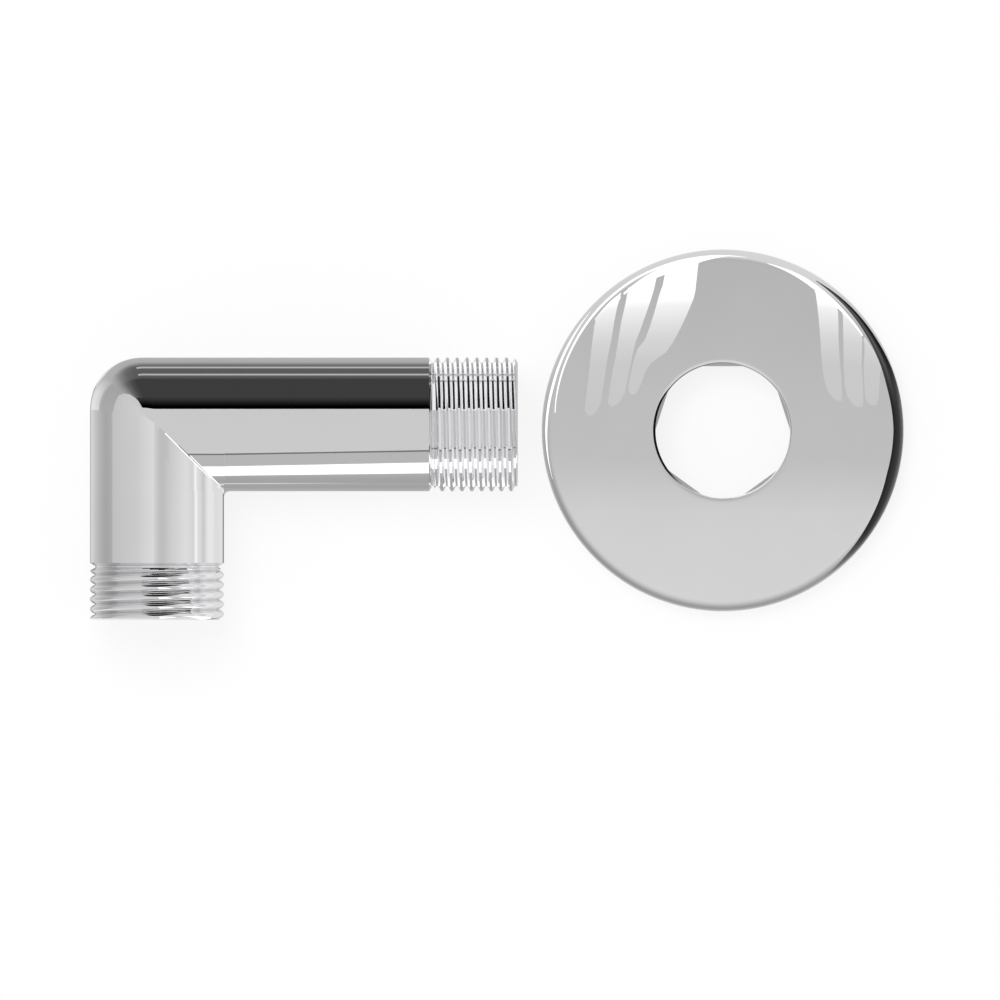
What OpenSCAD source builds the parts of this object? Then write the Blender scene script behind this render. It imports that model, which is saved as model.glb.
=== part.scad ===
// Wall outlet elbow: a chrome-plated brass elbow and the round flange that covers its wall opening.
// Lengths are in millimetres. The two pieces lie as they come to rest: the elbow on its side, with
// its wall arm along +X and its outlet arm along -Y, and the flange on its rim with its face up.

/* [Elbow] */
// Outside diameter of both arms, the major diameter of a half-inch pipe thread
arm_d = 20.955; // [17:0.005:26]
// Diameter of the waterway
bore_d = 14; // [10:0.5:15.5]
// From the outlet arm's axis to the end of the wall arm
wall_reach = 56.5; // [45:0.5:90]
// From the wall arm's axis to the end of the outlet arm
outlet_reach = 30.6; // [25:0.1:60]
// How far past the crossing of the axes the rounding of the outer corner begins
corner_start = 2.2; // [0.5:0.1:6]
// Break of the waterway's edge at each mouth
mouth_break = 0.4; // [0.2:0.1:1]

/* [Threaded ends] */
// Length of the wall arm's thread
wall_thread_len = 13.9; // [9:0.1:18]
// Length of the outlet arm's thread
outlet_thread_len = 8.9; // [7:0.1:14]
// Depth of the thread, which the grooves and the bevels at its two ends also take
thread_depth = 0.8; // [0.5:0.05:1.2]
// Width of the groove that the thread runs out into
relief_w = 1.2; // [0.8:0.1:2]
// Width of that groove's floor
relief_floor = 0.2; // [0.1:0.05:0.4]
// Length of the bevel that leads in the wall arm's thread
wall_lead = 0.45; // [0.2:0.05:1.2]
// Length of the bevel that leads in the outlet arm's thread
outlet_lead = 0.2; // [0.1:0.05:1.2]

/* [Wall flange] */
// Outside diameter
flange_d = 56.7; // [45:0.1:80]
// Height from the rim to the lip round the hole
flange_h = 9; // [7.5:0.1:16]
// Thickness of the shell
shell_t = 1; // [0.8:0.1:1.5]
// Clearance on the radius between the hole and the arm
hole_clear = 0.045; // [0.02:0.005:0.3]
// Slope of the face where it meets the rounded rim, in degrees
face_slope = 17; // [8:1:24]
// Width of the rounded rim, seen from the front
rim_w = 1.9; // [1.5:0.1:3]
// Radius of the lip round the hole
lip_radius = 0.6; // [0.3:0.1:0.9]
// Rounding of the rim's edge, where it meets the wall
rim_edge = 0.25; // [0.1:0.05:0.35]
// Length of the collar behind the hole
collar_len = 6; // [3:0.1:6.5]

/* [Grip nibs] */
// Number of nibs round the collar
nibs = 5; // [3:1:8]
// How far each nib stands into the hole
nib_depth = 0.47; // [0.2:0.01:0.6]
// Length of the nibs along the collar
nib_len = 1.5; // [0.8:0.1:2]
// How much wider the hole is between the nibs than in front of them
nib_relief = 0.3; // [0.2:0.05:0.5]
// Angle of the first nib, in degrees
nib_start = 18; // [0:1:72]

/* [Layout] */
// Where the flange lies: beside the elbow, or on the wall arm as it is fitted
layout = "beside"; // [beside, fitted]
// Gap between the end of the wall arm and the flange beside it
side_gap = 3.75; // [1:0.05:20]
// How far the centre of the flange beside it lies below the wall arm's axis
side_drop = 0.95; // [0:0.05:10]

/* [Hidden] */

// Faces round a full turn
round_faces = 96;
// Steps of the arcs in the flange's outline
arc_steps = 16;
// How far the corner's ball lies inside the arms' surface, so that it never just grazes it
corner_inset = 0.01;
// Overlap of a cut past the surface it opens
past = 1;

arm_r = arm_d / 2;
bore_r = bore_d / 2;
hole_r = arm_r + hole_clear;
flange_r = flange_d / 2;

// The flange's face is part of a large sphere, and its rim an arc that turns from it to the wall
rim_start_r = flange_r - rim_w;
dome_r = rim_start_r / sin(face_slope);
rim_arc_r = rim_w / (1 - sin(face_slope));
lip_cr = hole_r + lip_radius;
lip_cz = flange_h - lip_radius;
dome_cz = lip_cz - sqrt(pow(dome_r - lip_radius, 2) - pow(lip_cr, 2));
rim_cr = flange_r - rim_arc_r;
rim_cz = dome_cz + (dome_r - rim_arc_r) * cos(face_slope);
collar_r = hole_r + shell_t;
ring_r = hole_r + nib_relief;

// Places in the frame, whose origin is under the middle of both pieces
flange_x = wall_reach + side_gap + flange_r;
left = -arm_r;
right = flange_x + flange_r;
top = max(arm_r, flange_r - side_drop);
bottom = -max(outlet_reach, side_drop + flange_r);
corner_x = -(left + right) / 2;
corner_y = -(top + bottom) / 2;

// Points of an arc with its centre at c
function arc(c, r, from, to) =
    [for (i = [0 : arc_steps]) let (a = from + (to - from) * i / arc_steps) c + r * [cos(a), sin(a)]];

// Ball of three different half axes that touches both arms along the two oblique planes in which
// they are cut, so that the corner turns without an edge
module corner_ball() {
    lean = corner_start / arm_r;
    rotate([0, 0, 45])
        scale([sqrt(1 - lean), sqrt(1 + lean), 1])
            sphere(r = arm_r - corner_inset, $fn = round_faces);
}

// Outline of one arm on one side of its axis: the plain stretch, the groove that its thread runs
// out into, the thread's major diameter and the bevel that leads it in
function arm_outline(reach, thread_len, lead) =
    let (
        root_r = arm_r - thread_depth,
        groove = reach - thread_len,
        groove_slope = (relief_w - relief_floor) / 2
    )
    [
        [0, -arm_r],
        [arm_r, -arm_r],
        [arm_r, groove],
        [root_r, groove + groove_slope],
        [root_r, groove + relief_w - groove_slope],
        [arm_r, groove + relief_w],
        [arm_r, reach - lead],
        [root_r, reach],
        [0, reach]
    ];

// One arm along +X, cut in the oblique plane where the corner's rounding begins
module arm(reach, thread_len, lead) {
    difference() {
        rotate([0, 90, 0])
            rotate_extrude($fn = round_faces)
                polygon(arm_outline(reach, thread_len, lead));
        rotate([0, 0, atan(corner_start / arm_r)])
            translate([-2 * arm_d, -arm_d, -arm_d])
                cube([2 * arm_d, 2 * arm_d, 2 * arm_d]);
    }
}

// Waterway of one arm along +X, from the corner out past the mouth, whose edge it breaks
module waterway(reach) {
    mouth = reach - mouth_break;
    rotate([0, 90, 0])
        rotate_extrude($fn = round_faces)
            polygon([
                [0, 0],
                [bore_r, 0],
                [bore_r, mouth],
                [bore_r + mouth_break + past, reach + past],
                [0, reach + past]
            ]);
}

// The elbow: two arms that meet in a mitre, which stays sharp inside and is rounded outside
module elbow() {
    color([0.83, 0.83, 0.84])
        translate([corner_x, corner_y, arm_r])
            difference() {
                union() {
                    arm(wall_reach, wall_thread_len, wall_lead);
                    mirror([1, 1, 0])
                        arm(outlet_reach, outlet_thread_len, outlet_lead);
                    corner_ball();
                }
                waterway(wall_reach);
                mirror([1, 1, 0])
                    waterway(outlet_reach);
                sphere(r = bore_r, $fn = round_faces);
            }
}

// Outline of the flange's shell on one side of its axis, from the collar's foot over the face to
// the rim and back along the inside
function shell_outline() =
    let (
        lip_angle = atan2(lip_cz - dome_cz, lip_cr),
        rim_angle = 90 - face_slope,
        inner_dome_r = dome_r - shell_t,
        foot = flange_h - collar_len
    )
    concat(
        [[collar_r, foot], [ring_r, foot], [ring_r, foot + nib_len], [hole_r, foot + nib_len]],
        arc([lip_cr, lip_cz], lip_radius, 180, lip_angle),
        arc([0, dome_cz], dome_r, lip_angle, rim_angle),
        arc([rim_cr, rim_cz], rim_arc_r, rim_angle, 0),
        arc([flange_r - rim_edge, rim_edge], rim_edge, 0, -90),
        [[flange_r - shell_t, 0]],
        arc([rim_cr, rim_cz], rim_arc_r - shell_t, 0, rim_angle),
        arc([0, dome_cz], inner_dome_r, rim_angle, acos(collar_r / inner_dome_r))
    );

// Ring at the collar's foot, whose wider hole has a flat for each nib, which springs onto the arm
module nib_ring() {
    grip_r = hole_r - nib_depth;
    difference() {
        cylinder(r = collar_r, h = nib_len, $fn = round_faces);
        translate([0, 0, -past])
            intersection() {
                cylinder(r = ring_r, h = nib_len + 2 * past, $fn = round_faces);
                rotate([0, 0, nib_start + 180 / nibs])
                    cylinder(r = grip_r / cos(180 / nibs), h = nib_len + 2 * past, $fn = nibs);
            }
    }
}

// The wall flange in its own place: rim at height 0, face up
module flange_body() {
    rotate_extrude($fn = round_faces)
        polygon(shell_outline());
    translate([0, 0, flange_h - collar_len])
        nib_ring();
}

// The wall flange, beside the elbow or slid onto the wall arm with its rim towards the wall
module wall_flange() {
    color([0.8, 0.8, 0.81])
        if (layout == "fitted")
            translate([corner_x + wall_reach - wall_thread_len, corner_y, arm_r])
                rotate([0, -90, 0])
                    flange_body();
        else
            translate([corner_x + flange_x, corner_y - side_drop, 0])
                flange_body();
}

elbow();
wall_flange();
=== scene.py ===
import math

import bmesh
import bpy
import numpy as np
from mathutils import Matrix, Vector


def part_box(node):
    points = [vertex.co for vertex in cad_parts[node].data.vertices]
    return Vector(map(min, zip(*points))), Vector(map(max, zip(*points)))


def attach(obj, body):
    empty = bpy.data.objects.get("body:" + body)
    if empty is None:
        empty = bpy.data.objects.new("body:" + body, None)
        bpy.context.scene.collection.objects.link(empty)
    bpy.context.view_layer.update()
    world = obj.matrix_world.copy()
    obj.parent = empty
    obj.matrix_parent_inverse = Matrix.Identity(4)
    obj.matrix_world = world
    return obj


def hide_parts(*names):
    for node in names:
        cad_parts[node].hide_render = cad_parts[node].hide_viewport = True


# A chrome wall outlet elbow that lies on its side, with the flange of its wall opening beside it.
# Shapes and studio cards are worked out in millimetres and become metres where a mesh is made.
# The floor, the lamp and the camera's height are given in metres.

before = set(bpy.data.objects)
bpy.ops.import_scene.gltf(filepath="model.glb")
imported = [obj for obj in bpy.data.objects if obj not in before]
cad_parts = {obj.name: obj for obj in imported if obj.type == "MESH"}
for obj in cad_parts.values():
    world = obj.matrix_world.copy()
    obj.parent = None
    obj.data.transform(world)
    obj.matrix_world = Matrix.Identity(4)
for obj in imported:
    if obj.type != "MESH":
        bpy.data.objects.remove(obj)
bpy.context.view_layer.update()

MM = 0.001
ROUND = 240  # points round an arm, the same on every grid, so that they weld
WELD = 0.0005  # points nearer than this become one


def node_box(node):
    """Lowest and highest corner of a CAD node in millimetres."""
    low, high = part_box(node)
    return low / MM, high / MM


# Sizes of the elbow: its box gives the outer ones, and the others are given here
elbow_low, elbow_high = node_box("elbow")
ARM_R = (elbow_high.z - elbow_low.z) / 2
CROSSING = Vector((elbow_low.x + ARM_R, elbow_high.y - ARM_R, ARM_R))  # of the arms' axes
WALL_REACH = elbow_high.x - CROSSING.x
OUTLET_REACH = CROSSING.y - elbow_low.y
BORE_R = 7.0
MOUTH_BREAK = 0.4  # bevel at a bore's mouth
CORNER_START = 2.2  # how far before the crossing the outer corner starts to turn
CORNER_LEAN = CORNER_START / ARM_R
CROTCH_BALL = 0.9  # fillet at the inner corner
SEAM_BALL = 0.22  # fillet along the rest of the inner mitre
FILLET_GROWTH = 14  # how late the fillet grows from one to the other
THREAD_DEPTH = 0.8
ROOT_R = ARM_R - THREAD_DEPTH
GROOVE_SLOPE = 0.5
GROOVE_FLOOR = 0.2
WALL_THREAD_LEN = 13.9  # from the groove to the arm's end
OUTLET_THREAD_LEN = 8.9
WALL_PITCH = 1.544
OUTLET_PITCH = 1.535
WALL_THREAD_ROOT = 43.13  # middle of a root on the arm's outer side, from the crossing
OUTLET_THREAD_ROOT = 22.03

# Sizes of the flange
flange_low, flange_high = node_box("wall_flange")
FLANGE_R = (flange_high.x - flange_low.x) / 2
FLANGE_H = flange_high.z
FLANGE_X = (flange_low.x + flange_high.x) / 2
FLANGE_Y = (flange_low.y + flange_high.y) / 2
HOLE_R = ARM_R + 0.045
SHELL = 1.0
FACE_SLOPE = math.radians(17)  # where the face meets the rim
RIM_W = 1.9  # how far in the rounded rim reaches
LIP_R = 0.6
RIM_EDGE = 0.25
COLLAR_LEN = 6.0
NIBS = 5
NIB_GRIP_R = HOLE_R - 0.47
NIB_RING_R = HOLE_R + 0.3
NIB_LEN = 1.5
NIB_START = math.radians(18)

# The flange's outline: the lip's centre as radius and height, the sphere of the face and the rim's arc,
# each with its radius and its centre's height
LIP = (HOLE_R + LIP_R, FLANGE_H - LIP_R)
DOME_R = (FLANGE_R - RIM_W) / math.sin(FACE_SLOPE)
DOME_Z = LIP[1] - math.sqrt((DOME_R - LIP_R) ** 2 - LIP[0] ** 2)
RIM_R = RIM_W / (1 - math.sin(FACE_SLOPE))
RIM_Z = DOME_Z + (DOME_R - RIM_R) * math.cos(FACE_SLOPE)

# The picture's frame, straight down: the point in its middle, its width and the camera's height in metres
PICTURE_MIDDLE = (0.48, -10.25)
PICTURE_WIDTH = 156.6
CAMERA_Z = 0.6

# The metals' colours
CHROME = (0.83, 0.83, 0.84)
SATIN = (0.62, 0.62, 0.63)
BRASS = (0.6, 0.45, 0.24)

# The lamp and the floor, in metres
LAMP_PLACE = (-0.2, 0.25, 0.9)
LAMP_SIZE = 0.5
LAMP_WATTS = 3.5
FLOOR_HALF = 1.5
FLOOR_WHITE = 1.04  # the light that lifts the floor to white
FLOOR_SEEN = 0.8  # the share of it that the camera sees, the rest being the shadowed floor
FLOOR_IN_METAL = 0.3  # the same for the metal's gloss


class Skin:
    """Grids of points that are welded into one closed mesh, each with its own finish."""

    def __init__(self):
        self.points = []
        self.faces = []
        self.finishes = []

    def add(self, grid, finish=0, shift=0):
        """A grid of rows that close round on themselves, their last column joining shift rows on."""
        rows, columns, _ = grid.shape
        first = len(self.points)
        self.points.extend(grid.reshape(-1, 3).tolist())
        for row in range(rows - 1):
            for column in range(columns):
                beside = (column + 1) % columns
                other = row + (shift if beside == 0 else 0)
                if not 0 <= other < rows - 1:
                    continue
                self.faces.append([
                    first + row * columns + column,
                    first + row * columns + columns + column,
                    first + other * columns + columns + beside,
                    first + other * columns + beside,
                ])
                self.finishes.append(finish)

    def build(self, name, materials, sharp=math.radians(24)):
        """The welded object, smooth but for the edges that turn by more than sharp."""
        mesh = bpy.data.meshes.new(name)
        mesh.from_pydata((np.array(self.points) * MM).tolist(), [], self.faces)
        mesh.polygons.foreach_set("material_index", self.finishes)
        welded = bmesh.new()
        welded.from_mesh(mesh)
        bmesh.ops.remove_doubles(welded, verts=welded.verts, dist=WELD * MM)
        bmesh.ops.recalc_face_normals(welded, faces=welded.faces)
        for face in welded.faces:
            face.smooth = True
        for edge in welded.edges:
            edge.smooth = len(edge.link_faces) == 2 and edge.calc_face_angle() < sharp
        welded.to_mesh(mesh)
        welded.free()
        for material in materials:
            mesh.materials.append(material)
        piece = bpy.data.objects.new(name, mesh)
        bpy.context.scene.collection.objects.link(piece)
        return piece


def arc(centre, radius, start, end, steps):
    """Points of an arc in the plane of (radius, height)."""
    angles = np.linspace(start, end, steps + 1)
    return np.stack([centre[0] + radius * np.cos(angles), centre[1] + radius * np.sin(angles)], axis=1)


# The elbow

# Angles round an arm, from the corner's outer side over the top, and their cosine and sine
TURN = np.linspace(0, 2 * math.pi, ROUND, endpoint=False)
OUT, UP = np.cos(TURN), np.sin(TURN)


def on_wall_arm(along, radius):
    """Points round the wall arm, from the outer side of the corner over the top."""
    along, radius = along + 0 * OUT, radius + 0 * OUT
    return np.stack([along, radius * OUT, radius * UP], axis=-1)


def on_outlet_arm(along, radius):
    """The same on the outlet arm, which is the wall arm's mirror image in the mitre."""
    along, radius = along + 0 * OUT, radius + 0 * OUT
    return np.stack([-radius * OUT, -along, radius * UP], axis=-1)


def arm_start(radius, lean, ball):
    """Where the arm's plain wall starts: outside at the corner's rounding, inside at the fillet."""
    return np.where(OUT > 0, -lean * radius * OUT, -(radius + ball) * OUT)


def corner_rows(radius, lean, ball, steps):
    """Rows across the corner, from the wall arm to the outlet arm."""
    rows = []
    ball = (ball + 0 * OUT)[:, None]
    reach = math.atan(math.sqrt((1 - lean) / (1 + lean)))
    quarter = np.arccos(np.clip(UP * UP, -1, 1))
    safe = np.where(quarter > 1e-6, np.sin(quarter), 1)
    for share in np.linspace(0, 1, steps + 1):
        swing = reach * (1 - 2 * share)
        across = radius * OUT * math.sqrt(1 - lean) * math.sin(swing)
        along = radius * OUT * math.sqrt(1 + lean) * math.cos(swing)
        outer = np.stack([across - along, across + along, radius * math.sqrt(2) * UP], axis=1) / math.sqrt(2)
        wall_part = np.where(quarter > 1e-6, np.sin((1 - share) * quarter) / safe, 1 - share)
        outlet_part = np.where(quarter > 1e-6, np.sin(share * quarter) / safe, share)
        normal = np.stack([-outlet_part * OUT, wall_part * OUT, (wall_part + outlet_part) * UP], axis=1)
        spine = (radius + ball) * np.stack([-OUT, OUT, UP], axis=1)
        inner = spine - ball * normal
        rows.append(np.where(OUT[:, None] > 0, outer, inner))
    return rows


def tube(radius, lean, ball, wall_end, outlet_end, steps):
    """The whole bent wall of that radius, from one arm's end to the other's."""
    start = arm_start(radius, lean, ball)
    shares = (1, 0.6, 0.3, 0.12, 0.04, 0.01)
    wall = [on_wall_arm(start + share * (wall_end - start), radius) for share in shares]
    outlet = [on_outlet_arm(start + share * (outlet_end - start), radius) for share in reversed(shares)]
    return np.stack(wall + corner_rows(radius, lean, ball, steps) + outlet)


def thread_rows(place, groove, reach, lead, pitch, root, profile, hand):
    """The skin of a helical thread as rows that follow its helix, between its groove and its bevel.

    Its profile is pairs of a share of the pitch and a share of the thread's depth."""
    first = groove + GROOVE_SLOPE + GROOVE_FLOOR
    phases = np.array([p for p, _ in profile])
    heights = np.array([h for _, h in profile])
    turns = np.arange(math.floor((first - root) / pitch) - 2, math.ceil((reach - root) / pitch) + 2)
    rows = []
    for phase in (turns[:, None] + phases[None, :]).ravel():
        along = np.clip(root + pitch * (phase + hand * TURN / (2 * math.pi)), first, reach)
        local = ((along - root) / pitch - hand * TURN / (2 * math.pi)) % 1
        height = np.interp(local, np.append(phases, 1), np.append(heights, heights[0]))
        run_in = (along - first) / GROOVE_SLOPE
        run_out = (reach - along) / lead
        radius = ROOT_R + THREAD_DEPTH * np.minimum(np.minimum(height, run_in), run_out)
        rows.append(place(along, radius))
    return np.stack(rows), hand * len(profile)


def make_elbow(chrome, brass):
    """The bent body with its two threaded ends and its waterway, one forging."""
    skin = Skin()
    wall = dict(place=on_wall_arm, groove=WALL_REACH - WALL_THREAD_LEN, reach=WALL_REACH, lead=0.45,
                pitch=WALL_PITCH, root=WALL_THREAD_ROOT, hand=1,
                profile=[(0, 0), (0.105, 0), (0.125, 0.04), (0.165, 0.2), (0.245, 0.5), (0.325, 0.8),
                         (0.365, 0.96), (0.385, 1), (0.5, 1), (0.615, 1), (0.635, 0.96), (0.675, 0.8),
                         (0.755, 0.5), (0.835, 0.2), (0.875, 0.04), (0.895, 0)])
    outlet = dict(place=on_outlet_arm, groove=OUTLET_REACH - OUTLET_THREAD_LEN, reach=OUTLET_REACH, lead=0.2,
                  pitch=OUTLET_PITCH, root=OUTLET_THREAD_ROOT, hand=-1,
                  profile=[(p, math.sin(math.pi * p) ** 0.8) for p in np.linspace(0, 1, 18, endpoint=False)])
    ball = SEAM_BALL + (CROTCH_BALL - SEAM_BALL) * np.abs(OUT) ** FILLET_GROWTH
    skin.add(tube(ARM_R, CORNER_LEAN, ball, wall["groove"], outlet["groove"], 20))
    for end in (wall, outlet):
        place, groove, reach = end["place"], end["groove"], end["reach"]
        skin.add(np.stack([
            place(groove, ARM_R),
            place(groove + GROOVE_SLOPE, ROOT_R),
            place(groove + GROOVE_SLOPE + GROOVE_FLOOR, ROOT_R),
        ]))
        rows, shift = thread_rows(**end)
        skin.add(rows, shift=shift)
        skin.add(np.stack([place(reach, ROOT_R), place(reach, BORE_R + MOUTH_BREAK)]))
        skin.add(np.stack([place(reach, BORE_R + MOUTH_BREAK), place(reach - MOUTH_BREAK, BORE_R)]), 1)
    skin.add(tube(BORE_R, 0, 0, WALL_REACH - MOUTH_BREAK, OUTLET_REACH - MOUTH_BREAK, 10), 1)
    skin.points = (np.array(skin.points) + np.array(CROSSING)).tolist()
    return skin.build("elbow_body", [chrome, brass])


# The wall flange

def flange_sections():
    """The section's front and back as points of (radius, height), the collar's foot and its radius."""
    dome = (0, DOME_Z)
    rim = (FLANGE_R - RIM_R, RIM_Z)
    lip_turn = math.atan2(LIP[1] - DOME_Z, LIP[0])
    rim_turn = math.pi / 2 - FACE_SLOPE
    collar_r = HOLE_R + SHELL
    foot = FLANGE_H - COLLAR_LEN
    inner_r = DOME_R - SHELL
    front = np.concatenate([
        [(HOLE_R, foot + NIB_LEN)],
        arc(LIP, LIP_R, math.pi, lip_turn, 14),
        arc(dome, DOME_R, lip_turn, rim_turn, 30)[1:],
        arc(rim, RIM_R, rim_turn, 0, 24)[1:],
        arc((FLANGE_R - RIM_EDGE, RIM_EDGE), RIM_EDGE, 0, -math.pi / 2, 8),
    ])
    back = np.concatenate([
        [(FLANGE_R - RIM_EDGE, 0), (FLANGE_R - SHELL, 0)],
        arc(rim, RIM_R - SHELL, 0, rim_turn, 16),
        arc(dome, inner_r, rim_turn, math.acos(collar_r / inner_r), 20)[1:],
        [(collar_r, foot)],
    ])
    return front, back, foot, collar_r


def make_flange(chrome, satin):
    """The domed shell with the nibs that grip the arm, turned as a grid round its axis."""
    corner = math.acos(NIB_GRIP_R / NIB_RING_R)
    sector = 2 * math.pi / NIBS
    nib = np.linspace(-corner, corner, 20, endpoint=False)
    between = np.linspace(corner, sector - corner, 52, endpoint=False)
    places = np.concatenate([nib, between])
    angles = np.concatenate([NIB_START + n * sector + places for n in range(NIBS)])
    ring = np.concatenate([NIB_GRIP_R / np.cos(nib), np.full(len(between), NIB_RING_R)])
    ring = np.tile(ring, NIBS)
    front, back, foot, collar_r = flange_sections()

    def circle(radius, height):
        flat = radius * np.stack([np.cos(angles), np.sin(angles)])
        return np.stack([*flat, height + 0 * angles], axis=1)

    skin = Skin()
    skin.add(np.stack([circle(r, z) for r, z in front]))
    skin.add(np.stack([circle(r, z) for r, z in back]), 1)
    skin.add(np.stack([
        circle(collar_r, foot), circle(ring, foot), circle(ring, foot + NIB_LEN),
        circle(HOLE_R, foot + NIB_LEN),
    ]), 1)
    skin.points = (np.array(skin.points) + np.array([FLANGE_X, FLANGE_Y, 0])).tolist()
    return skin.build("flange_shell", [chrome, satin])


# Materials

def new_material(name):
    """A material, the nodes of its tree and the links between them."""
    material = bpy.data.materials.new(name)
    material.use_nodes = True
    return material, material.node_tree.nodes, material.node_tree.links


def add_node(nodes, kind, **values):
    """A node with those inputs set."""
    node = nodes.new(kind)
    for key, value in values.items():
        node.inputs[key.replace("_", " ")].default_value = value
    return node


def add_math(nodes, links, operation, *values):
    """The output of a Math node whose inputs are numbers or other nodes' outputs."""
    node = nodes.new("ShaderNodeMath")
    node.operation = operation
    for socket, value in zip(node.inputs, values):
        if isinstance(value, (int, float)):
            socket.default_value = value
        else:
            links.new(value, socket)
    return node.outputs[0]


def metal(name, colour, roughness, spread, wave, fine):
    """A plated or bare metal: soft waviness of the ground, fine polishing marks and uneven gloss."""
    material, nodes, links = new_material(name)
    shader = nodes["Principled BSDF"]
    shader.inputs["Metallic"].default_value = 1.0
    place = nodes.new("ShaderNodeTexCoord")

    def noise(**values):
        node = add_node(nodes, "ShaderNodeTexNoise", **values)
        links.new(place.outputs["Object"], node.inputs["Vector"])
        return node.outputs["Fac"]

    tint = nodes.new("ShaderNodeValToRGB")
    for stop, position, share in zip(tint.color_ramp.elements, (0.3, 0.7), (0.97, 1)):
        stop.position = position
        stop.color = (*[c * share for c in colour], 1)
    links.new(noise(Scale=90.0, Detail=3.0), tint.inputs["Fac"])
    links.new(tint.outputs["Color"], shader.inputs["Base Color"])
    gloss = nodes.new("ShaderNodeMapRange")
    gloss.inputs["To Min"].default_value = roughness - spread
    gloss.inputs["To Max"].default_value = roughness + spread
    links.new(noise(Scale=420.0, Detail=6.0, Roughness=0.65), gloss.inputs["Value"])
    links.new(gloss.outputs["Result"], shader.inputs["Roughness"])
    wave_bump = add_node(nodes, "ShaderNodeBump", Strength=wave, Distance=0.0002)
    links.new(noise(Scale=160.0, Detail=1.0), wave_bump.inputs["Height"])
    fine_bump = add_node(nodes, "ShaderNodeBump", Strength=fine, Distance=0.00001)
    links.new(noise(Scale=2600.0, Detail=2.0), fine_bump.inputs["Height"])
    links.new(wave_bump.outputs["Normal"], fine_bump.inputs["Normal"])
    links.new(fine_bump.outputs["Normal"], shader.inputs["Normal"])
    return material


# The studio

def white_floor():
    """A pale floor that shows as white with the pieces' shadows, to the eye and in the metal."""
    material, nodes, links = new_material("studio_floor")
    shader = nodes["Principled BSDF"]
    shader.inputs["Base Color"].default_value = (0.86, 0.86, 0.86, 1)
    shader.inputs["Roughness"].default_value = 0.9
    shader.inputs["Specular IOR Level"].default_value = 0.0
    white = add_node(nodes, "ShaderNodeEmission", Color=(1, 1, 1, 1), Strength=FLOOR_WHITE)
    ray = nodes.new("ShaderNodeLightPath")
    seen = add_math(nodes, links, "ADD", ray.outputs["Is Camera Ray"], ray.outputs["Is Transmission Ray"])
    lift = add_math(nodes, links, "MULTIPLY", seen, FLOOR_SEEN)
    share = add_math(nodes, links, "MULTIPLY_ADD", ray.outputs["Is Glossy Ray"], FLOOR_IN_METAL, lift)
    mix = nodes.new("ShaderNodeMixShader")
    links.new(share, mix.inputs["Fac"])
    links.new(shader.outputs["BSDF"], mix.inputs[1])
    links.new(white.outputs["Emission"], mix.inputs[2])
    links.new(mix.outputs["Shader"], nodes["Material Output"].inputs["Surface"])
    half = FLOOR_HALF
    corners = [(-half, -half, 0), (half, -half, 0), (half, half, 0), (-half, half, 0)]
    mesh = bpy.data.meshes.new("floor")
    mesh.from_pydata(corners, [], [(0, 1, 2, 3)])
    mesh.materials.append(material)
    floor = bpy.data.objects.new("floor", mesh)
    bpy.context.scene.collection.objects.link(floor)


def shown(grey):
    """The light that the chrome shows as that grey of 0 to 255."""
    value = grey / 255
    linear = value / 12.92 if value < 0.04 else ((value + 0.055) / 1.055) ** 2.4
    return linear / CHROME[0]


def card(name, corners, tones, axis="x"):
    """A flat studio card that only the metal's gloss sees, its corners given in millimetres.

    Its tones are greys as the chrome shows them: one, or pairs of a place along the axis and a grey."""
    material, nodes, links = new_material(name)
    nodes.remove(nodes["Principled BSDF"])
    emission = add_node(nodes, "ShaderNodeEmission", Strength=BRIGHTEST)
    if isinstance(tones, (int, float)):
        emission.inputs["Color"].default_value = (*[shown(tones) / BRIGHTEST] * 3, 1)
    else:
        first, last = tones[0][0], tones[-1][0]
        place = nodes.new("ShaderNodeTexCoord")
        split = nodes.new("ShaderNodeSeparateXYZ")
        links.new(place.outputs["Object"], split.inputs[0])
        spread = nodes.new("ShaderNodeMapRange")
        spread.inputs["From Min"].default_value = first * MM
        spread.inputs["From Max"].default_value = last * MM
        links.new(split.outputs["xyz".index(axis)], spread.inputs["Value"])
        ramp = nodes.new("ShaderNodeValToRGB")
        links.new(spread.outputs["Result"], ramp.inputs["Fac"])
        stops = ramp.color_ramp.elements
        for where, _ in tones[1:-1]:
            stops.new((where - first) / (last - first))
        for stop, (_, grey) in zip(stops, tones):
            stop.color = (*[shown(grey) / BRIGHTEST] * 3, 1)
        links.new(ramp.outputs["Color"], emission.inputs["Color"])
    links.new(emission.outputs["Emission"], nodes["Material Output"].inputs["Surface"])
    mesh = bpy.data.meshes.new(name)
    mesh.from_pydata([Vector(c) * MM for c in corners], [], [tuple(range(len(corners)))])
    hang(name, mesh, material)


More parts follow.
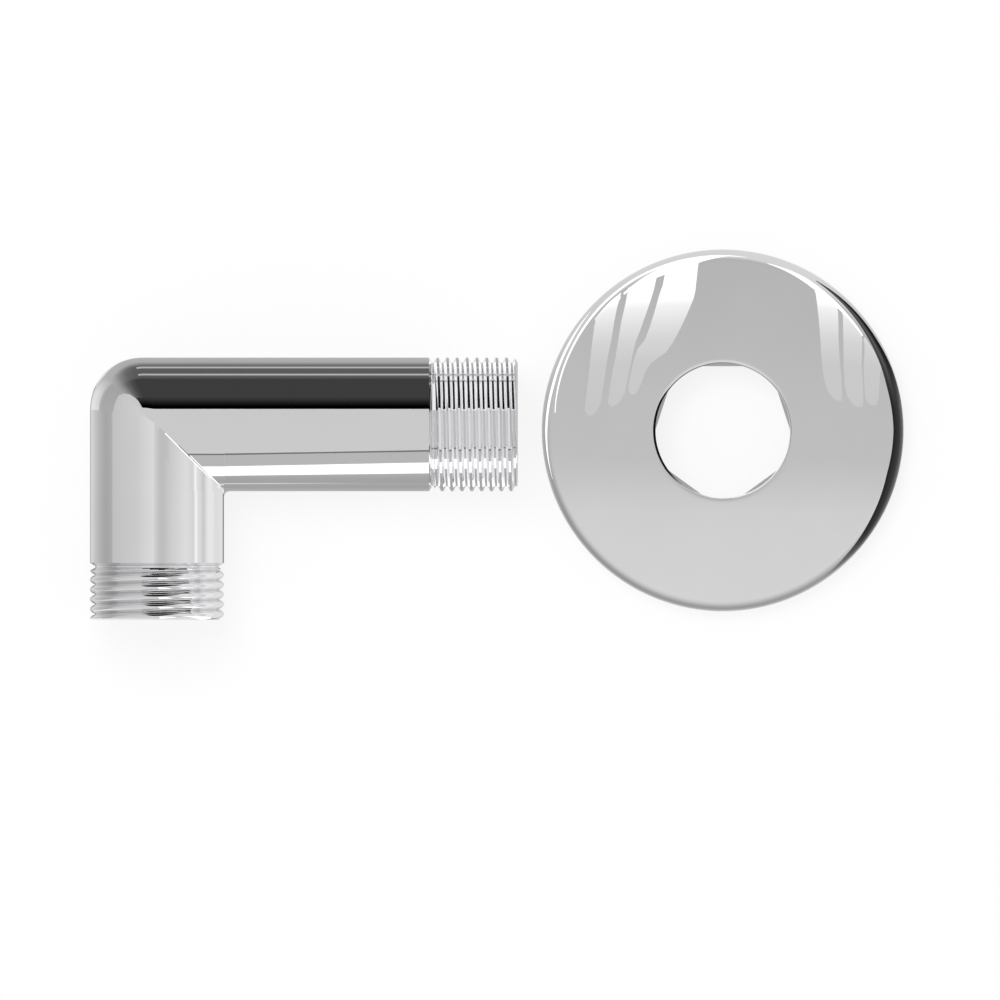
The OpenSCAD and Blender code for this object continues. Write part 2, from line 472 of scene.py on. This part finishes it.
def painted(name, grids, bounced=None):
    """A card of one or more grids of points in millimetres, each point with its own grey.

    Where bounced is given, it is the grey for light that the metal has already passed on once."""
    points, faces, greys = [], [], []
    for grid, tones in grids:
        rows, columns, _ = grid.shape
        first = len(points)
        points.extend((grid.reshape(-1, 3) * MM).tolist())
        greys.extend(np.broadcast_to(tones, (rows, columns)).ravel().tolist())
        for row in range(rows - 1):
            for column in range(columns - 1):
                corner = first + row * columns + column
                faces.append((corner, corner + 1, corner + columns + 1, corner + columns))
    material, nodes, links = new_material(name)
    nodes.remove(nodes["Principled BSDF"])
    emission = add_node(nodes, "ShaderNodeEmission", Strength=1.0)
    tone = nodes.new("ShaderNodeAttribute")
    tone.attribute_name = "tone"
    if bounced is None:
        links.new(tone.outputs["Color"], emission.inputs["Color"])
    else:
        ray = nodes.new("ShaderNodeLightPath")
        again = add_math(nodes, links, "GREATER_THAN", ray.outputs["Ray Depth"], ONE_BOUNCE)
        mix = nodes.new("ShaderNodeMix")
        mix.data_type = "RGBA"
        mix.inputs["B"].default_value = (*[shown(bounced)] * 3, 1)
        links.new(again, mix.inputs["Factor"])
        links.new(tone.outputs["Color"], mix.inputs["A"])
        links.new(mix.outputs["Result"], emission.inputs["Color"])
    links.new(emission.outputs["Emission"], nodes["Material Output"].inputs["Surface"])
    mesh = bpy.data.meshes.new(name)
    mesh.from_pydata(points, [], faces)
    attribute = mesh.attributes.new("tone", "FLOAT_COLOR", "POINT")
    attribute.data.foreach_set("color", [value for grey in greys for value in (*[shown(grey)] * 3, 1)])
    hang(name, mesh, material)


def hang(name, mesh, material):
    """Put a card's mesh in the studio, where only the metal's gloss sees it."""
    material.cycles.emission_sampling = "NONE"
    mesh.materials.append(material)
    piece = bpy.data.objects.new(name, mesh)
    bpy.context.scene.collection.objects.link(piece)
    piece.visible_camera = False
    piece.visible_diffuse = False
    piece.visible_shadow = False
    piece.visible_transmission = False


def facing_x(x, y0, y1, z0, z1):
    """Corners of an upright card that faces along X."""
    return [(x, y0, z0), (x, y1, z0), (x, y1, z1), (x, y0, z1)]


def facing_y(y, x0, x1, z0, z1):
    """Corners of an upright card that faces along Y."""
    return [(x0, y, z0), (x1, y, z0), (x1, y, z1), (x0, y, z1)]


def level(z, x0, x1, y0, y1):
    """Corners of a level card."""
    return [(x0, y0, z), (x1, y0, z), (x1, y1, z), (x0, y1, z)]


# The tent of cards round the elbow: its walls in millimetres, and a little room between two layers
LEFT, RIGHT, TOP = -67, 3.3, 40.7
BACK, FRONT = 14, -31
LAYER = 0.1
HAIR = 0.02  # width of a sharp change of grey, and room beside a stair of cards
ROOF_SPLIT = -9  # Y of the line between the two roofs
STRIP_START = -46  # X where the strip light starts

# Greys, two of them for light that the metal has already passed on once in the outlet's thread
ROOF_GREY = 203
WHITE = 275  # brighter than white, so that it stays white in the metal
PASSED_DARK = 30
PASSED_LIGHT = 228
ONE_BOUNCE = 1.5  # the ray depth of such light is above it
BRIGHTEST = 1.6  # strength of a plain card's emission

# The wall thread's own cards start at THREAD_X. Its stripes lie between those angles, in degrees.
THREAD_X = CROSSING.x + WALL_REACH - WALL_THREAD_LEN + 2 * LAYER
STRIPE = 0.38
STRIPE_ANGLES = (44, 75.8)

# The staircase beside the mitre: its first stair, its step, its height and the least offset from an axis
SEAM_START = 0.4
SEAM_STEP = 0.2
SEAM_TOP = 44
SEAM_AXIS = 0.35
SEAM_EDGE = 0.004  # width of the change between two of its fine lines

# The cards in front of the wall arm: heights of their edges at FRONT_START and at RIGHT, and the roof's Y
FRONT_START = -50
FRONT_EDGES = {"strip_low": (11.9, 17.3), "strip_high": (23.1, 31), "line_low": (38, 48),
               "line_high": (41, 51.5), "roof": (-30.6, -20.4)}

# The cards round the outlet arm: a wall at its right with its upper greys, and low roofs over it, which end
# at OUTLET_BACK. The thread's own roof changes its passed-on grey at OUTLET_MIDDLE.
OUTLET_WALL = -42.7
OUTLET_HIGH = [(20.9, 241), (21.2, 211), (22.7, 217), (24.7, 221), (30.8, 211), (TOP, 203)]
OUTLET_BACK = CROSSING.y - OUTLET_REACH + OUTLET_THREAD_LEN - 2 * LAYER
OUTLET_MIDDLE = CROSSING.y - OUTLET_REACH + 4.2
LOW_ROOF = 24.5

# The cards of the flange: the ring of strips round its rim, the post in its hole, painted with shade and
# light for the lip, the screen between it and the elbow, and the window panes
RING_R = 30.2
RING_LAYER = 0.03
POST_R = 8
SCREEN_X = RIGHT + 1.7
SCREEN_HALF = 70
SCREEN_TOP = 110
SCREEN_SHOWS = (11.2, 26.4)  # on the face, from its middle
PANE_HEIGHT = 22


def front_edge(name, x):
    """Where an edge of the cards in front of the wall arm runs at x."""
    start, end = FRONT_EDGES[name]
    return start + (end - start) * (x - FRONT_START) / (RIGHT - FRONT_START)


def front_band(x, low, high):
    """Corners of a card in front of the wall arm, from x to the thread, between two of the edges."""
    return [(x, FRONT, front_edge(low, x)), (THREAD_X, FRONT, front_edge(low, THREAD_X)),
            (THREAD_X, FRONT, front_edge(high, THREAD_X)), (x, FRONT, front_edge(high, x))]


def upright_grid(x_rows, y, heights):
    """A grid in the plane of that Y: for each height a row of places along X."""
    return np.array([[(x, y, z) for x in row] for row, z in zip(x_rows, heights)])


def wall_arm_cards():
    """What the wall arm shows: a pale roof, a dark flag behind it and a strip light in front."""
    card("roof", level(TOP, LEFT, THREAD_X, ROOF_SPLIT, BACK), ROOF_GREY)
    front_roof = [(CROSSING.x, ROOF_SPLIT), (THREAD_X, ROOF_SPLIT), (THREAD_X, front_edge("roof", THREAD_X)),
                  (FRONT_START, front_edge("roof", FRONT_START)), (CROSSING.x, -30.9)]
    card("front_roof", [(x, y, TOP) for x, y in front_roof], ROOF_GREY)
    card("dark_flag", facing_y(BACK, LEFT, THREAD_X, 0, TOP),
         [(0, 178), (11.4, 170), (13.6, 98), (15, 92), (17.8, 90), (18.8, 61), (27, 61), (32, 28),
          (36, 0), (TOP, 0)], "z")
    card("flag_line_high", facing_y(BACK - 2 * LAYER, -57, RIGHT, 16.7, 17.3), 178)
    card("flag_line_low", facing_y(BACK - 2 * LAYER, -57, RIGHT, 14, 14.7), 178)
    card("front_strip", front_band(STRIP_START, "strip_low", "strip_high"), WHITE)
    card("front_grey", front_band(FRONT_START, "strip_high", "line_low"), 183)
    card("front_line", front_band(FRONT_START, "line_low", "line_high"), 115)
    low_edge = [(x, FRONT, front_edge("strip_low", x)) for x in (THREAD_X, FRONT_START)]
    card("front_low", [(FRONT_START, FRONT, 0), (THREAD_X, FRONT, 0), *low_edge],
         [(0, 162), (9, 166), (15, 176)], "z")
    card("floor_grey", level(2 * LAYER, STRIP_START, THREAD_X, FRONT, ROOF_SPLIT),
         [(FRONT, 170), (-20, 160), (ROOF_SPLIT, 176)], "y")
    line = [(STRIP_START, -27.6), (RIGHT, -34), (RIGHT, -36.5), (STRIP_START, -29.5)]
    card("floor_line", [(x, y, 3 * LAYER) for x, y in line], 230)


def thread_cards():
    """What the wall arm's thread shows: light cards, and dark stripes behind it for its crests and roots."""
    ends = np.array([THREAD_X, RIGHT])
    heights = (0, 11.4, 14, 18, 19, TOP)
    flag = upright_grid([ends] * len(heights), BACK, heights)
    painted("thread_flag", [(flag, np.array([178, 170, 130, 170, 240, 235])[:, None])], bounced=WHITE)
    places = np.linspace(THREAD_X, RIGHT, 140)
    crest = CROSSING.x + WALL_THREAD_ROOT + 0.75 * WALL_PITCH
    tones = 204 + 18 * np.cos(2 * math.pi * (places - crest) / WALL_PITCH)
    roof = np.array([[(x, BACK, TOP) for x in places], [(x, ROOF_SPLIT, TOP) for x in places],
                     [(x, front_edge("roof", x), TOP) for x in places]])
    painted("thread_roof", [(roof, tones)], bounced=246)
    rows = [(0 * ends, 162), (9 + 0 * ends, 166), (front_edge("strip_low", ends), 176),
            (front_edge("strip_low", ends) + HAIR, WHITE), (front_edge("strip_high", ends), WHITE),
            (front_edge("strip_high", ends) + HAIR, 183), (front_edge("line_low", ends), 183),
            (front_edge("line_low", ends) + HAIR, 115), (front_edge("line_high", ends), 115)]
    front = np.array([[(x, FRONT, z) for x, z in zip(ends, row)] for row, _ in rows])
    floor = np.array([[(x, y, 2 * LAYER) for x in ends] for y in (FRONT, -20, ROOF_SPLIT)])
    painted("thread_front", [(front, np.array([grey for _, grey in rows])[:, None]),
                             (floor, np.array([170, 160, 176])[:, None])], bounced=WHITE)
    grids = []
    angles = np.radians(np.linspace(*STRIPE_ANGLES, 12))
    greys = np.interp(angles, np.radians([44, 48, 60, 75]), [70, 45, 30, 10])[:, None]
    for radius, phase in ((ARM_R, 0.5), (ROOT_R, 0)):
        slant = 2 * (math.pi / 2 - angles)
        heights = ARM_R + radius * np.sin(angles)
        heights = heights + (BACK - CROSSING.y - radius * np.cos(angles)) / np.tan(slant)
        for count in range(10):
            middle = CROSSING.x + WALL_THREAD_ROOT + WALL_PITCH * (phase + count + angles / (2 * math.pi))
            if not THREAD_X + 0.6 < middle[0] < RIGHT - 0.5:
                continue
            sides = [middle - STRIPE / 2, middle + STRIPE / 2]
            grids.append((np.stack([
                np.stack([x, 0 * x + BACK - LAYER, heights], axis=1) for x in sides], axis=1), greys))
    painted("thread_stripes", grids, bounced=WHITE)


def seam_cards(name, tones, lines, mirrored):
    """A staircase of cards beside the mitre's inner half, so that one arm doesn't show the other there.

    Its tones are pairs of an offset from the arm's axis in millimetres and a grey. The lines are fine
    lines along the seam, from the seam outwards: a width, a grey and where on the seam they start."""
    grids = []
    stops = [where for where, _ in tones if where > SEAM_AXIS]
    base = np.sort(np.concatenate([np.linspace(SEAM_AXIS, ARM_R, 40), stops]))
    for foot in np.arange(SEAM_START, ARM_R, SEAM_STEP):
        plane = min(foot + SEAM_STEP, ARM_R - 0.001)
        inset, line_rows = 0, []
        for width, grey, first in lines:
            if foot > first:
                line_rows = [(inset + width, grey), (inset + SEAM_EDGE, grey)] + line_rows
                inset += width
        columns, greys = [], []
        for side in (foot, plane):
            inner = np.minimum(base, max(side - inset - 0.005, SEAM_AXIS))
            offsets = np.concatenate([inner, [side - back for back, _ in line_rows]])
            slant = 2 * np.arcsin(offsets / ARM_R)
            heights = ARM_R + np.sqrt(ARM_R ** 2 - offsets ** 2)
            heights = heights + (plane + HAIR - offsets) * np.cos(slant) / np.sin(slant)
            heights = np.minimum(heights, SEAM_TOP)
            far, near = plane + HAIR + 0 * heights, side + 0 * heights
            if mirrored:
                far, near = near, far
            columns.append(np.stack([CROSSING.x + far, CROSSING.y - near, heights], axis=1))
            tone = np.interp(inner, *np.array(tones).T)
            greys.append(np.concatenate([tone, [grey for _, grey in line_rows]]))
        grids.append((np.stack(columns, axis=1), np.stack(greys, axis=1)))
    painted(name, grids)


def corner_cards():
    """What the outer corner shows: the flag fades to grey at its end, over a paler foot."""
    near = BACK - LAYER
    places = (LEFT, -64.5, -62, -60, -58)
    fade = {0: (178, 178, 178, 178, 178), 11.4: (178, 176, 174, 171, 170), 13.6: (176, 165, 140, 115, 98),
            15: (172, 158, 128, 104, 92), 17.8: (168, 150, 116, 98, 90), 18.8: (165, 145, 105, 78, 61),
            28: (165, 145, 100, 74, 61)}
    painted("flag_fade", [(upright_grid([places] * len(fade), near, fade), list(fade.values()))])
    near = BACK - 2 * LAYER
    card("flag_end", [(LEFT, near, 22.6), (-64, near, 24.5), (-62.5, near, 28), (-62.2, near, 31),
                      (-63.5, near, TOP), (LEFT, near, TOP)], 200)
    near = LEFT + LAYER
    card("left_grey", [(near, 4, 14), (near, BACK, 14), (near, BACK, 22.6), (near, 11, 20.5),
                       (near, 4, 19.4)], [(4, 170), (BACK, 162)], "y")
    foot = {0: (196, 190, 182, 178), 5: (222, 215, 192, 178), 9: (228, 222, 196, 178),
            13: (214, 206, 188, 177)}
    painted("left_foot", [(np.array([[(near, y, z) for y in (4, 8, 11.5, BACK)] for z in foot]),
                           list(foot.values()))])


def outlet_arm_cards():
    """What the outlet arm shows: pale walls on both sides of it, a light line, and a thin dark outline from
    a strip of painted shade on the floor beside it.
    """
    card("left_wall", facing_x(LEFT, FRONT, BACK, 0, TOP),
         [(0, 150), (1.8, 165), (2.6, 207), (8, 207), (15, 171), (16.3, 166), (18.7, 173), (19.3, 193),
          (24, 199), (TOP, 206)], "z")
    # A grey strip on the floor beside the outlet arm: painted shade of the floor next to the arm, which the
    # arm's edge shows as a thin dark outline
    card("left_floor_shade_strip", level(2 * LAYER, -66.4, -63.8, FRONT, 9), 140)
    low = [(0, 100), (11.4, 110), (12.2, 222), (14.8, 222), (15.6, 233), (16.8, 232), (17.6, 215),
           (18.1, 199), (18.7, 214), (19.9, 224), (20.1, 241)]
    card("right_wall", facing_x(OUTLET_WALL, OUTLET_BACK, -8.8, 0, TOP), low + OUTLET_HIGH, "z")
    card("right_wall_low", facing_x(OUTLET_WALL, FRONT, OUTLET_BACK, 0, 20.5),
         [(0, 190), (11.4, 200)] + low[2:], "z")
    left_roof = [(-58.5, OUTLET_BACK), (-54, OUTLET_BACK), (-54, 2), (-56.3, 3.4), (-58.5, 4.5)]
    card("left_roof", [(x, y, LOW_ROOF) for x, y in left_roof], [(-58.5, 205), (-56.5, 212), (-54, 219)])
    right_roof = [(-54, OUTLET_BACK), (-49.6, OUTLET_BACK), (-49.6, -5.6), (-53.2, 1.6), (-54, 2)]
    card("right_roof", [(x, y, LOW_ROOF) for x, y in right_roof],
         [(-54, 208), (-53.2, 201), (-52.6, 192), (-51.6, 190), (-49.6, 203)])


def outlet_thread_cards():
    """What the outlet's thread shows: dark behind it, light in front, and the other way round for light
    that one flank has passed on to the next."""
    ends = [(-56.8, -47.4), (-56.8, -47.8), (-56.8, -48.8), (-56.4, -50), (-56, -52)]
    dark = upright_grid(ends, OUTLET_BACK, (21.2, 23, 27, 36, 40))
    painted("outlet_dark", [(dark, 25)], bounced=PASSED_LIGHT)
    light = upright_grid([(-52.6, -49.2)] * 2, FRONT + 5 * LAYER, (21, 45))
    painted("outlet_light", [(light, WHITE)], bounced=PASSED_DARK)
    ahead = FRONT + 4 * LAYER
    grey = upright_grid([(-56.8, -47.4)] * 2, ahead, (21, TOP))
    painted("outlet_ahead", [(grey, 208)], bounced=PASSED_DARK)
    places = (LEFT, -64.3, -58.5, -56.7, -55, -53.2, -51.4, -46, OUTLET_WALL)
    tones = (206, 212, 215, 219, 206, 201, 191, 192, 198)
    for name, y0, y1, bounced in (("ahead", ahead, OUTLET_MIDDLE, PASSED_DARK),
                                  ("behind", OUTLET_MIDDLE, OUTLET_BACK, PASSED_LIGHT)):
        roof = np.array([[(x, y, TOP - LAYER) for x in places] for y in (y0, y1)])
        wall = np.array([[(OUTLET_WALL, y, z) for z, _ in OUTLET_HIGH] for y in (y0, y1)])
        painted("outlet_over_" + name, [(roof, tones), (wall, [grey for _, grey in OUTLET_HIGH])], bounced)


def round_flange(azimuths, ring, heights):
    """A grid on a ring round the flange's axis: rows of heights over azimuths in degrees."""
    angles = np.radians(azimuths)
    x, y = FLANGE_X + ring * np.cos(angles), FLANGE_Y + ring * np.sin(angles)
    return np.stack([np.stack([x, y, height + 0 * angles], axis=1) for height in heights])


def seen_at(inset):
    """Radius and height of the flange so far in from its edge, and the slant of what it reflects there."""
    inset = np.asarray(inset, float)
    radius = FLANGE_R - inset
    on_rim = inset < RIM_W
    tilt = np.where(on_rim, np.arcsin(1 - np.minimum(inset, RIM_W) / RIM_R), np.arcsin(radius / DOME_R))
    height = np.where(on_rim, RIM_Z + RIM_R * np.cos(tilt), DOME_Z + DOME_R * np.cos(tilt))
    return radius, height, 2 * tilt


def ring_strip(name, azimuths, insets, greys, layer=0):
    """A strip on a ring round the flange: rows of the insets from the flange's edge where it shows."""
    radius, height, slant = seen_at([inset + 0 * azimuths for inset in insets])
    ring = RING_R - layer * RING_LAYER
    painted(name, [(round_flange(azimuths, ring, height + (ring - radius) / np.tan(slant)), greys)])


def rim_cards():
    """What the rim and the lip show: a soft dark edge, a dark crescent at the right, white lines, and the
    lip's dark line and highlight from a post in the hole with painted shade and light.
    """
    azimuths = np.linspace(-180, 180, 121)
    stops = (-180, -150, -90, -45, -20, 60, 120, 150, 180)
    base = np.interp(azimuths, stops, (185, 205, 205, 200, 200, 215, 212, 200, 185))
    depth = np.interp(azimuths, stops, (20, 62, 55, 52, 60, 0, 0, 0, 20))
    rows = [(1.1, 0.15), (0.85, 0.55), (0.5, 1), (0.25, 0.65), (0.1, 0.3), (0.05, 0.3)]
    slant = seen_at(1.5)[2]
    first = world_grey(math.sin(slant) * np.sin(np.radians(azimuths)))
    ring_strip("rim_shade", azimuths, [1.5] + [inset for inset, _ in rows],
               np.stack([first] + [base - depth * share for _, share in rows]))
    azimuths = np.linspace(-56, 58, 58)
    inner = np.interp(azimuths, [-56, -45, -30, -15, 0, 15, 30, 45, 58],
                      [0.4, 0.9, 1.4, 1.78, 1.62, 1.78, 1.48, 1.1, 0.8])
    outer = np.interp(azimuths, [-56, -40, 8, 20, 30, 45, 58], [0.35, 0.1, 0.06, 0.14, 0.32, 0.45, 0.7])
    upper = np.interp(azimuths, [8, 25], [0, 1])
    fade = np.interp(azimuths, [-56, -46, -36], [1, 0.5, 0])
    greys = [low + (high - low) * upper + (150 - low) * fade
             for low, high in ((30, 110), (42, 55), (52, 95), (60, 50), (90, 26), (145, 26))]
    shares = (0, 0.15, 0.4, 0.6, 0.8, 1)
    insets = [inner + (outer - inner) * share for share in shares]
    ring_strip("rim_dark", azimuths, insets, np.stack(greys), 1)
    # White lines, each by stations of an azimuth, its middle's inset and half its width
    lines = {
        "rim_line_outer": [(138, 0.5, 0.02), (150, 0.71, 0.16), (165, 0.85, 0.2), (180, 0.71, 0.17),
                           (196, 0.62, 0.02)],
        "rim_line_inner": [(82, 0.98, 0.02), (92, 1, 0.12), (105, 0.98, 0.16), (120, 0.93, 0.15),
                           (135, 1.12, 0.17), (150, 1.42, 0.15), (165, 1.68, 0.12), (174, 1.88, 0.03)],
        "rim_wedge_left": [(88, 0.98, 0.05), (98, 1.35, 0.45), (101, 1.6, 0.7), (110, 1.7, 0.62),
                           (118, 1.8, 0.4), (126, 1.9, 0.1)],
        "rim_wedge_right": [(34, 1.88, 0.04), (45, 1.8, 0.2), (54, 1.68, 0.32), (61, 1.5, 0.35),
                            (68, 1.35, 0.2), (75, 1.28, 0.04)],
    }
    for layer, (name, stations) in enumerate(lines.items()):
        where, middle, half = np.array(stations).T
        azimuths = np.linspace(where[0], where[-1], 40)
        middle, half = np.interp(azimuths, where, middle), np.interp(azimuths, where, half)
        ring_strip(name, azimuths, [middle + half, middle - half], WHITE, layer + 2)
    # A post in the flange's hole: painted shade, dark on its left, and painted light, bright on its lower
    # right, which the lip shows as its dark line and its highlight
    azimuths = np.linspace(-180, 180, 73)
    greys = np.interp(azimuths, [-180, -142, -128, -100, -20, 0, 60, 100, 140, 152, 180],
                      [20, 20, 150, 240, 240, 200, 165, 130, 80, 20, 20])
    top = np.interp(azimuths, [-180, -145, -125, 140, 155, 180], [12.5, 11.5, 8.6, 8.6, 11.5, 12.5])
    painted("hole_shade_and_light_post", [(round_flange(azimuths, POST_R, (3 * LAYER, top)), greys)])


def flange_cards():
    """What the flange's face shows: a screen that hides the elbow's cards but shows the plain room's greys,
    and six window panes."""
    offsets = np.linspace(*SCREEN_SHOWS, 60)
    slant = 2 * np.arcsin(offsets / DOME_R)
    heights = np.linspace(0, SCREEN_TOP, 34)
    grid, greys = [], []
    for y in np.linspace(-SCREEN_HALF, SCREEN_HALF, 57):
        side = math.hypot(y - FLANGE_Y, SCREEN_X - FLANGE_X)
        landing = FLANGE_H + (side - offsets) / np.tan(slant)
        seen = np.interp(heights, landing[::-1], slant[::-1])
        grid.append([(SCREEN_X, y, z) for z in heights])
        greys.append(world_grey(np.sin(seen) * (y - FLANGE_Y) / side))
    painted("between", [(np.array(grid), np.array(greys))])
    fade = [(FLANGE_Y + y, grey) for y, grey in
            ((5, 201), (14, 204), (19, 215), (23, 230), (26.5, 245), (30, WHITE))]
    # Corners of the panes as they show on the face, in millimetres from its centre
    panes = {
        "pane_1": [(-20, 17.8), (-20.2, 15.5), (-20.6, 12.5), (-20.9, 9.5), (-21.3, 6), (-21.6, 3.2),
                   (-21.2, 2.4), (-20.6, 2.3), (-19.8, 2.9), (-19.2, 4), (-18.6, 7.5), (-18.1, 11),
                   (-17.5, 14), (-17, 17), (-16.6, 19), (-15.9, 21.6), (-17.2, 20.6), (-18.6, 19.3)],
        "pane_2": [(-14.8, 22.3), (-15.2, 20), (-15.9, 17), (-16.4, 14), (-16.8, 11.5), (-17.3, 9),
                   (-17.7, 6.5), (-18, 4.3), (-17.6, 3.8), (-17.2, 3.7), (-16.3, 4.3), (-15.4, 5.8),
                   (-15, 7.5), (-14.6, 9.5), (-14.1, 12), (-13.6, 14), (-12.8, 16), (-12.1, 18),
                   (-11.4, 20), (-10.8, 22), (-10.2, 24.7), (-12.5, 23.6)],
        "pane_3": [(-8.9, 25.2), (-9.3, 23), (-10, 21), (-10.7, 18.5), (-11.5, 16), (-12.3, 14),
                   (-13.3, 12.8), (-13.8, 11.5), (-14.3, 9.5), (-14.8, 7), (-14.7, 6), (-14.3, 5.6),
                   (-13.7, 5.7), (-13, 6.8), (-12, 9.4), (-11.3, 10.4), (-10.2, 11.3), (-8.9, 12.2),
                   (-7.8, 13.8), (-6.6, 16), (-5.6, 18.2), (-4.6, 20.5), (-4.3, 21.8), (-4.05, 24),
                   (-3.8, 26.5), (-6.4, 25.9)],
        "pane_4": [(14.4, 22.6), (14.7, 20.5), (15, 18), (15.3, 14), (15.5, 10.5), (15.9, 7.8),
                   (16.5, 6), (17.3, 5), (18.5, 4.5), (18.7, 5.2), (18.6, 8), (18.3, 11), (18.15, 14),
                   (18.1, 17), (18, 19.8), (16.2, 21.3)],
        "pane_5": [(18.8, 19), (18.85, 16), (18.9, 13), (18.95, 9.5), (19.1, 7), (19.5, 5.4),
                   (20.3, 4.2), (21, 3.7), (21.9, 3.7), (22, 5), (21.9, 8), (21.75, 10), (21.8, 12.5),
                   (21.9, 15.2), (20.5, 17.1)],
        "pane_6": [(22.2, 14.7), (22.2, 12), (22.05, 9.5), (22.2, 6.5), (22.4, 4.8), (23, 4),
                   (24, 3.9), (24.4, 5), (24.6, 8), (24.9, 9.9), (23.7, 12.4)],
    }
    for name, corners in panes.items():
        sides = zip(corners, corners[1:] + corners[:1])
        seen = np.concatenate([np.linspace(start, end, 8, endpoint=False) for start, end in sides])
        away = np.hypot(*seen.T)
        radius, height, slant = seen_at(FLANGE_R - away)
        spread = (radius + (PANE_HEIGHT - height) * np.tan(slant)) / away
        hung = [(FLANGE_X + x * s, FLANGE_Y + y * s, PANE_HEIGHT) for (x, y), s in zip(seen, spread)]
        card(name, hung, fade, "y")


# The plain room's greys, over how far a reflection leans towards Y
WORLD_GREYS = [(-0.55, 212), (-0.28, 207), (-0.1, 192), (0.1, 190), (0.55, 182), (1, 176)]


def world_grey(toward_y):
    """The grey that the chrome shows where it reflects the plain room."""
    return np.interp(toward_y, *np.array(WORLD_GREYS).T)


def light_world():
    """A pale room that is brighter in front than behind, and plain white to the camera itself."""
    world = bpy.data.worlds.new("studio")
    bpy.context.scene.world = world
    world.use_nodes = True
    nodes, links = world.node_tree.nodes, world.node_tree.links
    background = nodes["Background"]
    place = nodes.new("ShaderNodeTexCoord")
    split = nodes.new("ShaderNodeSeparateXYZ")
    links.new(place.outputs["Generated"], split.inputs[0])
    spread = nodes.new("ShaderNodeMapRange")
    spread.inputs["From Min"].default_value = -1.0
    links.new(split.outputs["Y"], spread.inputs["Value"])
    ramp = nodes.new("ShaderNodeValToRGB")
    stops = ramp.color_ramp.elements
    places = [(where + 1) / 2 for where, _ in WORLD_GREYS]
    stops[0].position, stops[1].position = places[0], places[-1]
    for where in places[1:-1]:
        stops.new(where)
    for stop, (_, grey) in zip(stops, WORLD_GREYS):
        stop.color = (*[shown(grey)] * 3, 1)
    links.new(spread.outputs["Result"], ramp.inputs["Fac"])
    links.new(ramp.outputs["Color"], background.inputs["Color"])
    background.inputs["Strength"].default_value = 1.0
    white = add_node(nodes, "ShaderNodeBackground", Color=(1, 1, 1, 1), Strength=1.0)
    ray = nodes.new("ShaderNodeLightPath")
    mix = nodes.new("ShaderNodeMixShader")
    links.new(ray.outputs["Is Camera Ray"], mix.inputs["Fac"])
    links.new(background.outputs["Background"], mix.inputs[1])
    links.new(white.outputs["Background"], mix.inputs[2])
    links.new(mix.outputs["Shader"], nodes["World Output"].inputs["Surface"])


def place_camera():
    """The picture's own camera, which looks straight down and has no perspective."""
    data = bpy.data.cameras.new("camera")
    data.type = "ORTHO"
    data.ortho_scale = PICTURE_WIDTH * MM
    camera = bpy.data.objects.new("camera", data)
    camera.location = (PICTURE_MIDDLE[0] * MM, PICTURE_MIDDLE[1] * MM, CAMERA_Z)
    bpy.context.scene.collection.objects.link(camera)
    bpy.context.scene.camera = camera


def hang_lamp():
    """One wide soft lamp for the shadows on the floor."""
    data = bpy.data.lights.new("soft_lamp", "AREA")
    data.shape = "DISK"
    data.size = LAMP_SIZE
    data.energy = LAMP_WATTS
    lamp = bpy.data.objects.new("soft_lamp", data)
    lamp.location = LAMP_PLACE
    lamp.rotation_euler = Vector(LAMP_PLACE).to_track_quat("Z", "Y").to_euler()
    lamp.visible_glossy = False
    bpy.context.scene.collection.objects.link(lamp)


place_camera()
light_world()
hang_lamp()
white_floor()
wall_arm_cards()
thread_cards()
corner_cards()
outlet_arm_cards()
outlet_thread_cards()
seam_cards("outlet_seam",
           [(0.4, 190), (1.5, 191), (2.2, 203), (3.2, 211), (4.6, 221), (5.5, 212), (5.75, 214), (5.85, 241),
            (6.15, 241), (6.3, 222), (6.7, 218), (7.2, 201), (7.3, 199), (7.55, 215), (8, 232), (8.5, 233),
            (8.9, 222), (10.1, 222), (10.3, 120), (10.5, 100)],
           lines=[(0.24, WHITE, 1.3)], mirrored=False)
seam_cards("wall_seam",
           [(0, ROOF_GREY), (4.58, ROOF_GREY), (4.62, 115), (4.8, 115), (4.85, 183), (6.58, 183),
            (6.62, WHITE), (8.05, WHITE), (8.12, 176), (8.8, 164), (9.3, 170), (9.36, 230), (9.5, 230),
            (9.56, 160), (10.5, 175)],
           lines=[(0.2, 120, 3.4), (0.2, WHITE, 5.1)], mirrored=True)
flange_cards()
rim_cards()

elbow_chrome = metal("elbow_chrome", CHROME, 0.02, 0.012, 0.02, 0.03)
flange_chrome = metal("flange_chrome", CHROME, 0.02, 0.012, 0.02, 0.03)
satin_chrome = metal("satin_chrome", SATIN, 0.28, 0.05, 0.1, 0.2)
bare_brass = metal("bare_brass", BRASS, 0.35, 0.08, 0.3, 0.3)

elbow_body = make_elbow(elbow_chrome, bare_brass)
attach(elbow_body, "root")
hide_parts("elbow")

flange_shell = make_flange(flange_chrome, satin_chrome)
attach(flange_shell, "root")
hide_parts("wall_flange")

bpy.context.scene.view_settings.view_transform = "Standard"
